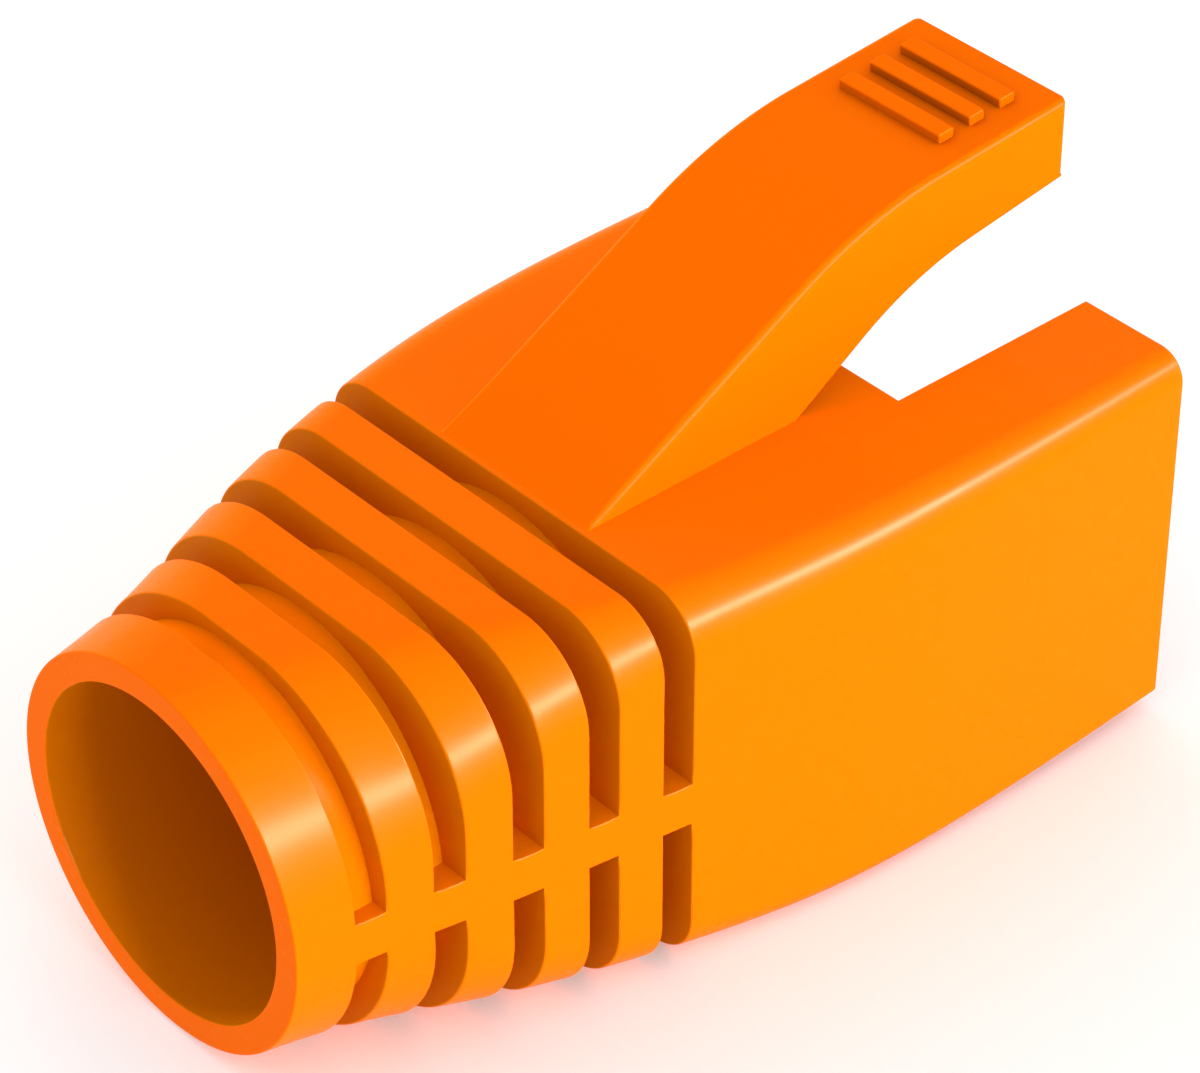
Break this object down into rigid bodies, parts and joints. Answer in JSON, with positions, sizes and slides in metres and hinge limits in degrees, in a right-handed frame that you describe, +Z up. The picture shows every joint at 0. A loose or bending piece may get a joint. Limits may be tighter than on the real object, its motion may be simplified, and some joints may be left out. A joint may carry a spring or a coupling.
{
  "type": "cable strain relief boot",
  "caption": "Moulded strain relief boot for a modular plug: slotted flexible neck, box-shaped socket and a sprung guard over the latch.",
  "frame": {"origin": "on the ground plane, under the middle of the boot's box", "axes": "+X across the width, +Y along the bore towards the plug end, +Z up through the latch guard"},
  "size_m": [0.0142, 0.0256, 0.0159],
  "materials": {
    "boot": "satin moulded flexible plastic, bright orange"
  },
  "bodies": {
    "root": {"boot": "boot"}
  },
  "joints": []
}
